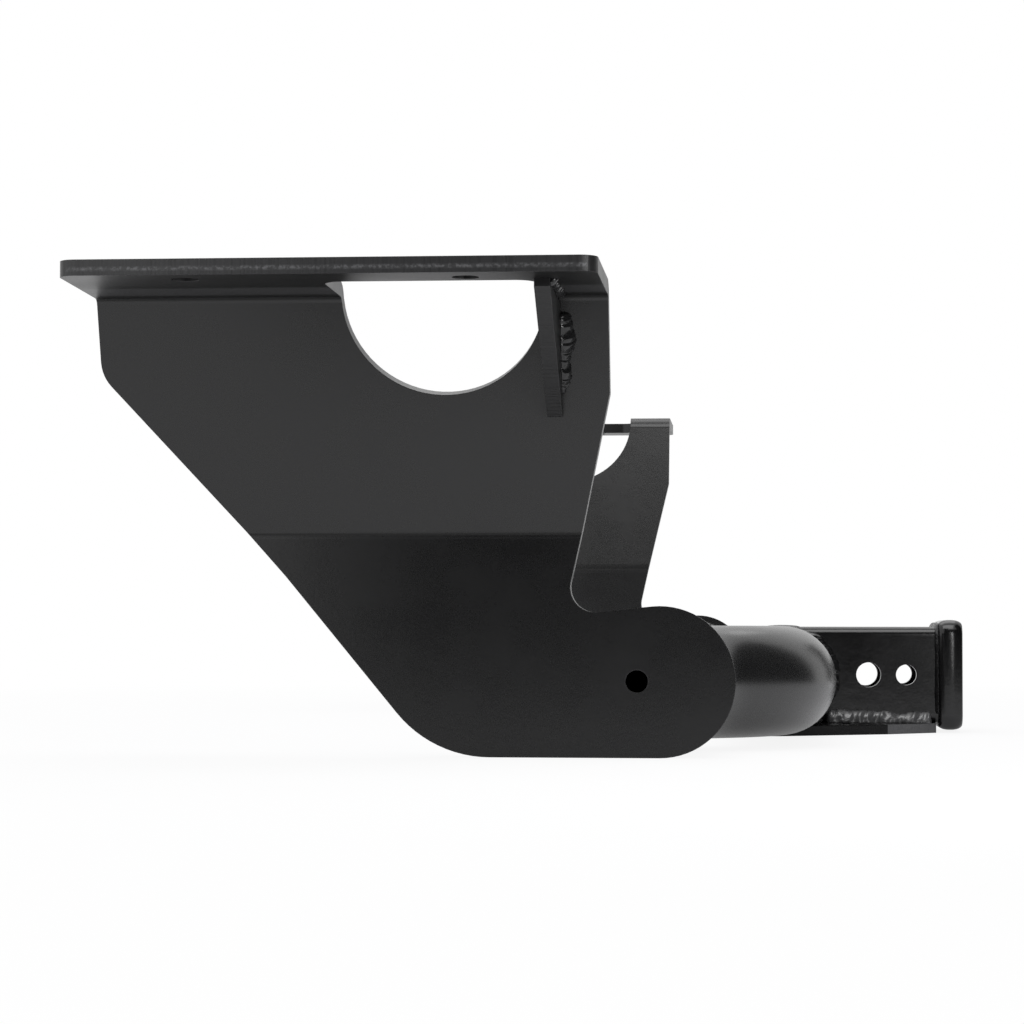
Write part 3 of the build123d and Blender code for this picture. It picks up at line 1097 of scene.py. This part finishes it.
@dataclass
class Receiver:
    """The receiver with its collar, and the beads that hold both."""

    layout: Layout
    corner: float = 6 * MM
    collar_weld: tuple[float, float] = (2.8 * MM, 2.1 * MM)
    collar_lip: float = 0.14
    collar_fullness: float = 2.35
    corner_faces: int = 14
    crown_cuts: int = 17
    mouth_break: float = 0.3 * MM
    saddle_weld: float = 6.5 * MM
    saddle_weld_side: float = 7.8 * MM
    saddle_weld_top: float = 0.35
    saddle_turn_from: float = 0.35
    saddle_top_from: float = 0.8
    saddle_run: float = 12 * MM
    saddle_rise: float = 1.5 * MM
    saddle_swell: tuple[float, float] = (-2.0 * MM, 2.4 * MM)
    side_weld: float = 7 * MM
    side_weld_tuck: float = 3 * MM
    side_weld_lift: float = 0.5 * MM

    def dress(self, coat: bpy.types.Material, nodes: dict) -> None:
        """Gives the CAD receiver its coat.

        Args:
            coat: The coat.
            nodes: The CAD nodes.
        """
        coat_node(nodes["receiver_tube"], coat)

    def collar(self, coat: bpy.types.Material) -> bpy.types.Object:
        """Models the collar round the mouth, with its long edges rounded.

        Args:
            coat: Its coat.

        Returns:
            The new piece.
        """
        layout = self.layout
        stand = layout.collar_half - layout.receiver_half
        width = layout.mouth_x - layout.collar_front_x
        shape = bmesh.new()
        bmesh.ops.create_cube(shape, size=1.0)
        size = Matrix.Diagonal((width, 2 * layout.collar_half, 2 * layout.collar_half, 1.0))
        middle = Matrix.Translation((layout.collar_front_x + width / 2, 0, 0))
        bmesh.ops.transform(shape, matrix=middle @ size, verts=shape.verts)
        round_edges(shape, long_edges(shape, Axis.X, width / 2), self.corner + stand, self.corner_faces)
        ends = [f for f in shape.faces if abs(f.normal.x) > 0.9]
        bmesh.ops.inset_individual(shape, faces=ends, thickness=stand, use_even_offset=True)
        rims = [list(face.edges) for face in ends]
        bmesh.ops.delete(shape, geom=ends, context="FACES_ONLY")
        bmesh.ops.bridge_loops(shape, edges=rims[0] + rims[1])
        self.crown_ring(shape, width, stand)
        mouth_edges = [e for e in shape.edges if self.is_mouth_edge(e)]
        round_edges(shape, mouth_edges, self.mouth_break, 2)
        smooth_outward(shape)
        piece = add_piece("receiver_collar_ring", shape, coat)
        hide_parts("receiver_collar")
        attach(piece, BODY)
        return piece

    def crown_ring(self, shape: bmesh.types.BMesh, width: float, stand: float) -> None:
        """Gives the collar's outer face a crown that falls away to both of its ends.

        Args:
            shape: The collar, with a flat outer face.
            width: Its length along the receiver.
            stand: How far it stands out of the receiver.
        """
        core = self.layout.receiver_half - self.corner
        middle = self.layout.collar_front_x + width / 2
        half_out = self.corner + stand / 2
        edges = long_edges(shape, Axis.X, width / 2)
        edges = [e for e in edges if self.off_core(e.verts[0], core).length > half_out]
        bmesh.ops.subdivide_edges(shape, edges=edges, cuts=self.crown_cuts)
        outer = [v for v in shape.verts if self.off_core(v, core).length > half_out]
        for vert in outer:
            turn = (vert.co.x - middle) / width * math.pi
            share = max(1.0 - abs(math.sin(turn)) ** self.collar_fullness, 0.0)
            share **= 1.0 / self.collar_fullness
            rise = stand * (self.collar_lip + (1.0 - self.collar_lip) * share)
            out = self.off_core(vert, core)
            vert.co += out.normalized() * (self.corner + rise - out.length)
            vert.co.x = middle + math.sin(turn) * width / 2

    def off_core(self, vert: bmesh.types.BMVert, core: float) -> Vector:
        """The way from the square core of the ring to a vertex.

        Args:
            vert: The vertex.
            core: Half the core's size.

        Returns:
            The way, square to the receiver's axis.
        """
        across = vert.co.y - max(-core, min(core, vert.co.y))
        up = vert.co.z - max(-core, min(core, vert.co.z))
        return Vector((0, across, up))

    def is_mouth_edge(self, edge: bmesh.types.BMEdge) -> bool:
        """Tells the edges round the ring's opening.

        Args:
            edge: An edge of the ring.

        Returns:
            True where it bounds the opening at either end.
        """
        core = self.layout.receiver_half - self.corner
        inside = all(self.off_core(v, core).length < self.corner + 0.1 * MM for v in edge.verts)
        return inside and abs(edge.verts[0].co.x - edge.verts[1].co.x) < MM

    def beads(self) -> list[Bead]:
        """The beads on the receiver."""
        return [self.saddle_bead(), self.collar_bead(), *(self.side_bead(side) for side in Side)]

    def saddle_bead(self) -> Bead:
        """Lays the bead over the joint with the cross tube: up one side, over the top and down.

        Returns:
            The bead.
        """
        layout = self.layout
        outline = RoundedSquare(layout.receiver_half, self.corner)
        lip = layout.receiver_front_x - layout.tube_middle_x
        drop = layout.tube_radius - math.sqrt(layout.tube_radius**2 - self.saddle_run**2)
        over_tube = Vector((-self.saddle_run - lip, 0, -drop - self.saddle_rise / 4))
        swell = Vector((self.saddle_swell[0], 0, self.saddle_swell[1]))

        def joint(travel: float) -> tuple[Vector, Vector, Vector]:
            """Finds the line where the receiver meets the tube.

            Args:
                travel: The distance along the receiver's outline.

            Returns:
                The place, the way out of the receiver and the way out of the tube.
            """
            place, out = outline.walk(travel)
            height = place.z - layout.tube_height
            ahead = max(math.sqrt(max(layout.tube_radius**2 - height**2, 0.0)), lip)
            away = Vector((ahead, 0, height)).normalized()
            return place + Vector((layout.tube_middle_x + ahead, 0, 0)), out, away

        def spot(share: float) -> Spot:
            """Finds the bead's place. Its toe on the receiver turns to the rear near the corner.

            Args:
                share: The share of its length.

            Returns:
                The place.
            """
            travel = min(max(share * outline.length, MM), outline.length - MM)
            root, out, away = joint(travel)
            path = (joint(travel + MM / 2)[0] - joint(travel - MM / 2)[0]).normalized()
            on_receiver = path.cross(out).normalized()
            on_tube = away.cross(path).normalized()
            on_receiver *= math.copysign(1.0, on_receiver.x)
            turning = limited(root.z / (self.saddle_turn_from * layout.receiver_half) - 1.0)
            on_receiver = on_receiver.lerp(Vector((1, 0, 0)), turning) * self.saddle_weld_side
            on_tube *= math.copysign(self.saddle_weld, on_tube.dot(out) - on_tube.x)
            top = limited(out.z / self.saddle_top_from)
            top = top * top * (3 - 2 * top)
            on_receiver *= 1.0 - (1.0 - self.saddle_weld_top) * top
            return Spot(root, on_receiver, on_tube.lerp(over_tube, top), swell * top)

        name = "receiver_saddle_weld"
        return Bead(name, outline.length, spot, pitch=4.4 * MM, ripple=0.95 * MM, wander=0.22)

    def collar_bead(self) -> Bead:
        """Lays the bead round the receiver on the collar's front face.

        Returns:
            The bead.
        """
        outline = RoundedSquare(self.layout.receiver_half, self.corner)
        up_collar, along_receiver = self.collar_weld

        def spot(share: float) -> Spot:
            """Finds the bead's place.

            Args:
                share: The share of its length.

            Returns:
                The place.
            """
            place, out = outline.walk(share * outline.length)
            root = place + Vector((self.layout.collar_front_x, 0, 0))
            return Spot(root, out * up_collar, Vector((-along_receiver, 0, 0)))

        return Bead("collar_weld", outline.length, spot, pitch=2.2 * MM, ripple=0.3 * MM)

    def side_bead(self, side: Side) -> Bead:
        """Lays the bead between the receiver's lower edge and the chain plate.

        Args:
            side: The side of the receiver.

        Returns:
            The bead.
        """
        node = f"side_weld_{side.node}"
        low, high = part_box(node)
        tuck = self.side_weld_tuck
        across = side.value * (self.layout.receiver_half - tuck)
        run = StraightRun(
            start=Vector((low.x, across, self.layout.plate_top)),
            end=Vector((high.x, across, self.layout.plate_top)),
            first=Vector((0, side.value * (self.side_weld + tuck), 0)),
            second=Vector((0, side.value * tuck, self.side_weld + MM)),
            lift=Vector((0, 0, self.side_weld_lift)),
        )
        ripples = {"pitch": 5.2 * MM, "ripple": 0.6 * MM, "lead": 2.0 * MM, "skew": 8.0 * MM}
        return Bead(node, high.x - low.x, run, wander=0.2, **ripples)


@dataclass
class CrossTube:
    """The bent tube, the chain plate under it and the beads between the two."""

    layout: Layout
    root_turn: float = math.radians(15)
    bulge: tuple[float, float] = (0.4 * MM, 0.6 * MM)

    def dress(
        self, tube_coat: bpy.types.Material, plate_coat: bpy.types.Material, nodes: dict
    ) -> None:
        """Gives the CAD tube and plate their coats.

        Args:
            tube_coat: The tube's coat.
            plate_coat: The chain plate's coat.
            nodes: The CAD nodes.
        """
        coat_node(nodes["cross_tube"], tube_coat)
        coat_node(nodes["chain_plate"], plate_coat)

    def beads(self) -> list[Bead]:
        """The beads between the tube and the chain plate."""
        names = ("plate_front_weld", "plate_rear_weld_left", "plate_rear_weld_right")
        return [self.plate_bead(name, -1 if "front" in name else 1) for name in names]

    def plate_bead(self, node: str, way: int) -> Bead:
        """Lays a bead along the tube's underside.

        Args:
            node: The CAD weld that it stands for.
            way: 1 behind the tube, -1 ahead of it.

        Returns:
            The bead.
        """
        layout = self.layout
        low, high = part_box(node)
        root_out = layout.tube_radius * math.sin(self.root_turn)
        toe_out = (high.x if way > 0 else low.x) - layout.tube_middle_x
        toe_rise = high.z - layout.plate_top
        tube_out = math.sqrt(layout.tube_radius**2 - (layout.tube_radius - toe_rise) ** 2)
        root_x = layout.tube_middle_x + way * root_out
        run = StraightRun(
            start=Vector((root_x, low.y, layout.plate_top)),
            end=Vector((root_x, high.y, layout.plate_top)),
            first=Vector((toe_out - way * root_out, 0, 0)),
            second=Vector((way * (tube_out - root_out), 0, toe_rise)),
            lift=Vector((way * self.bulge[0], 0, self.bulge[1])),
        )
        return Bead(node, high.y - low.y, run, pitch=2.8 * MM, ripple=0.45 * MM)


# The studio


@dataclass(frozen=True)
class Card:
    """A dark card that stands in an arc round the object, seen in its gloss alone.

    Its start and end are angles from +X in degrees. Its outline gives distances from the middle
    of the floor and heights over it.
    """

    name: str
    start: float
    end: float
    outline: tuple[tuple[float, float], ...]


WALL = Card("front_card", -114.0, 20.0, ((0.95, 0.0), (0.95, 1.0)))
HIGH = Card("high_card", -125.0, -92.0, ((0.95, 1.0), (0.95, 1.6)))
HOOD = Card("side_card", -50.0, 22.0, ((0.95, 1.0), (0.8, 1.25), (0.5, 1.5)))
REAR = Card("rear_card", 48.0, 62.0, ((1.6, 0.0), (1.6, 0.9)))


@dataclass(frozen=True)
class Lamp:
    """A soft lamp: its place, what it points at, its width and height, and its power in watts."""

    name: str
    place: tuple[float, float, float]
    target: tuple[float, float, float]
    size: tuple[float, float]
    power: float


TOP_LAMP = Lamp("top_lamp", (-0.2, 0.75, 1.45), (-0.1, 0.0, 0.0), (1.3, 0.8), 5.0)
FRONT_LAMP = Lamp("front_lamp", (-0.15, -0.6, 1.5), (-0.1, -0.2, 0.05), (1.1, 0.9), 9.0)
EDGE_LAMP = Lamp("edge_lamp", (0.18, -0.9, 0.25), (-0.16, -0.54, 0.2), (0.07, 0.45), 0.9)


@dataclass
class Studio:
    """The floor, the cards, the lamps, the world and the camera, whose angles are in degrees."""

    floor_height: float
    floor_size: float = 14.0
    paper_level: float = 0.85
    card_level: float = 0.004
    card_steps: int = 32
    white: float = 1.0
    shadow_share: float = 0.14
    gloss_share: float = 0.75
    shadow_reach: float = 1.6
    soft_light: float = 0.62
    camera_place: Vector = Vector((-68.6, -1815.6, 28.4)) * MM
    camera_turn: float = 4.743
    camera_tilt: float = 2.114
    camera_roll: float = 0.101
    camera_shift: tuple[float, float] = (-0.03, 0.02)
    lens: float = 94.02

    def build(self) -> None:
        """Sets up everything round the object."""
        self.floor()
        cloth = self.card_cloth()
        for card in (WALL, HIGH, HOOD, REAR):
            self.card(card, cloth)
        self.world()
        for lamp in (TOP_LAMP, FRONT_LAMP, EDGE_LAMP):
            self.lamp(lamp)
        self.camera()

    def backdrop_material(self, name: str) -> bpy.types.Material:
        """White to the eye, plain lit paper to soft light, and in between in reflections.

        Args:
            name: The material's name.

        Returns:
            The new material.
        """
        made = bpy.data.materials.new(name)
        made.use_nodes = True
        graph = Graph(made.node_tree)
        place = graph.node("ShaderNodeTexCoord", output="Object")
        reach = graph.node("ShaderNodeVectorMath", {"operation": "LENGTH"}, {0: place}, "Value")
        near = (1.0 - reach * (1.0 / self.shadow_reach)).either(0.0)
        paper = graph.node("ShaderNodeBsdfDiffuse", None, {"Color": grey(self.paper_level)})
        glow = graph.node("ShaderNodeEmission", None, {"Color": (1, 1, 1, 1), "Strength": self.white})
        camera = graph.ray("Is Camera Ray")
        share = camera * self.shadow_share + (1.0 - camera) * self.gloss_share
        inputs = {0: graph.seen() * (1.0 - near * share), 1: paper, 2: glow}
        mixed = graph.node("ShaderNodeMixShader", None, inputs)
        graph.node("ShaderNodeOutputMaterial", None, {"Surface": mixed})
        return made

    def floor(self) -> None:
        """Lays a wide pale floor under the object."""
        shape = bmesh.new()
        bmesh.ops.create_grid(shape, x_segments=1, y_segments=1, size=self.floor_size / 2)
        bmesh.ops.translate(shape, vec=Vector((0, 0, self.floor_height)), verts=shape.verts)
        self.stage_piece("floor", shape, self.backdrop_material("floor_paper"))

    def card_cloth(self) -> bpy.types.Material:
        """Makes a dull black cloth for the cards.

        Returns:
            The new material.
        """
        made = bpy.data.materials.new("card_cloth")
        made.use_nodes = True
        graph = Graph(made.node_tree)
        cloth = graph.node("ShaderNodeBsdfDiffuse", None, {"Color": grey(self.card_level)})
        graph.node("ShaderNodeOutputMaterial", None, {"Surface": cloth})
        return made

    def card(self, card: Card, cloth: bpy.types.Material) -> None:
        """Stands a card round the object, hidden from the camera and from soft light.

        Args:
            card: The card.
            cloth: Its material.
        """
        shape = bmesh.new()
        first = math.radians(card.start)
        way = Vector((math.cos(first), math.sin(first), 0))
        rise = Vector((0, 0, 1))
        floor = self.floor_height
        pole = [shape.verts.new(way * out + rise * (floor + up)) for out, up in card.outline]
        rails = [shape.edges.new(pair) for pair in zip(pole, pole[1:])]
        bmesh.ops.spin(
            shape,
            geom=pole + rails,
            cent=Vector((0, 0, 0)),
            axis=Vector((0, 0, 1)),
            angle=math.radians(card.end - card.start),
            steps=self.card_steps,
        )
        piece = self.stage_piece(card.name, shape, cloth)
        piece.visible_camera = False
        piece.visible_diffuse = False
        piece.visible_shadow = False

    def stage_piece(
        self, name: str, shape: bmesh.types.BMesh, coat: bpy.types.Material
    ) -> bpy.types.Object:
        """Adds a piece that isn't part of the object.

        Args:
            name: Its name.
            shape: Its mesh, which is freed.
            coat: Its material.

        Returns:
            The new piece.
        """
        piece = add_piece(name, shape, coat)
        piece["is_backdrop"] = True
        return piece

    def world(self) -> None:
        """Makes the surroundings white to the eye and an even grey to soft light."""
        world = bpy.data.worlds.new("studio_air")
        bpy.context.scene.world = world
        world.use_nodes = True
        graph = Graph(world.node_tree)
        strength = graph.seen() * (self.white - self.soft_light) + self.soft_light
        sky = graph.node("ShaderNodeBackground", None, {"Color": (1, 1, 1, 1), "Strength": strength})
        graph.node("ShaderNodeOutputWorld", None, {"Surface": sky})

    def lamp(self, lamp: Lamp) -> None:
        """Hangs a lamp.

        Args:
            lamp: The lamp.
        """
        data = bpy.data.lights.new(lamp.name, "AREA")
        data.shape = "RECTANGLE"
        data.size, data.size_y = lamp.size
        data.energy = lamp.power
        hung = bpy.data.objects.new(lamp.name, data)
        hung.location = lamp.place
        way = Vector(lamp.target) - Vector(lamp.place)
        hung.rotation_euler = way.to_track_quat("-Z", "Y").to_euler()
        bpy.context.scene.collection.objects.link(hung)

    def camera(self) -> None:
        """Puts the camera where it sees the object at the photograph's angle and size."""
        data = bpy.data.cameras.new("camera")
        data.lens = self.lens
        data.sensor_width = 36.0
        data.shift_x, data.shift_y = self.camera_shift
        data.clip_start = 0.05
        data.clip_end = 50.0
        camera = bpy.data.objects.new("camera", data)
        turn = Matrix.Rotation(math.radians(self.camera_turn), 4, "Z")
        tilt = Matrix.Rotation(math.radians(90 + self.camera_tilt), 4, "X")
        roll = Matrix.Rotation(math.radians(self.camera_roll), 4, "Z")
        camera.matrix_world = Matrix.Translation(self.camera_place) @ turn @ tilt @ roll
        bpy.context.scene.collection.objects.link(camera)
        bpy.context.scene.camera = camera


def main() -> None:
    """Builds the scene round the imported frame."""
    logging.basicConfig(level=logging.INFO, format="%(name)s: %(message)s")
    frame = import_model()
    cad_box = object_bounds()
    nodes = frame["nodes"]
    bpy.context.scene.view_settings.view_transform = "Standard"
    bracket_coat = BRACKET_COAT.material()
    gusset_coat = GUSSET_COAT.material()
    plate_coat = PLATE_COAT.material()
    tube_coat = TUBE_COAT.material()
    receiver_coat = RECEIVER_COAT.material()
    weld_coat = WELD_COAT.material()
    side_weld_coat = SIDE_WELD_PAINTED_SHEEN_COAT.material()

    layout = Layout()
    brackets = [SideBracket(side, layout) for side in Side]
    receiver = Receiver(layout)
    tube = CrossTube(layout)
    for bracket in brackets:
        bracket.dress(bracket_coat, gusset_coat, nodes)
    tube.dress(tube_coat, plate_coat, nodes)
    receiver.dress(receiver_coat, nodes)
    pieces = [receiver.collar(receiver_coat)]
    for owner in (*brackets, receiver, tube):
        for bead in owner.beads():
            coat = side_weld_coat if bead.node.startswith("side_weld") else weld_coat
            pieces.append(bead.build(coat))
    for piece in pieces:
        log.info("%s: %d faces", piece.name, len(piece.data.polygons))

    Studio(floor_height=cad_box[0].z).build()


if __name__ == "__main__":
    main()
